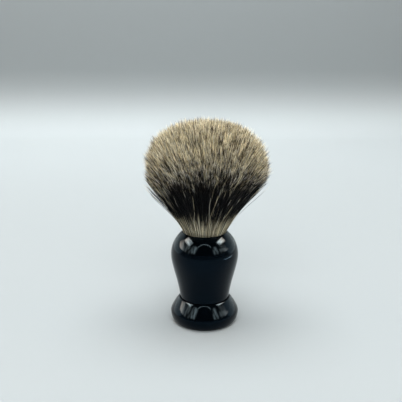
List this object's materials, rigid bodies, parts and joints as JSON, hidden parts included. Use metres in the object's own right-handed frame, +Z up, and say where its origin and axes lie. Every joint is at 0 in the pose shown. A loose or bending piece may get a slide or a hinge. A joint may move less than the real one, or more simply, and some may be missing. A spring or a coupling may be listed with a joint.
{
  "type": "shaving brush",
  "caption": "Shaving brush: fan-shaped banded hair knot bonded in a glossy urn-shaped handle on a flared ring foot, free-standing on a flat base.",
  "frame": {"origin": "middle of the flat base face that the brush stands on", "axes": "+Z up along the brush's turning axis, from the foot to the hair; +X to the viewer's right and -Y towards the viewer"},
  "size_m": [0.0572, 0.0572, 0.1019],
  "materials": {
    "body_resin": "gloss",
    "foot_resin": "gloss",
    "base_plastic": "satin",
    "ballast_steel": "satin",
    "plug_epoxy": "gloss",
    "socket_epoxy": "satin",
    "joint_epoxy": "satin",
    "binding_thread": "matte",
    "hair": "satin"
  },
  "bodies": {
    "root": {"handle_body": "body_resin", "handle_foot": "foot_resin", "spigot_adhesive": "joint_epoxy", "ballast_weight": "ballast_steel", "base_plug": "base_plastic", "socket_adhesive": "socket_epoxy", "knot_plug": "plug_epoxy", "root_binding": "binding_thread", "hair_knot": "hair"}
  },
  "joints": []
}
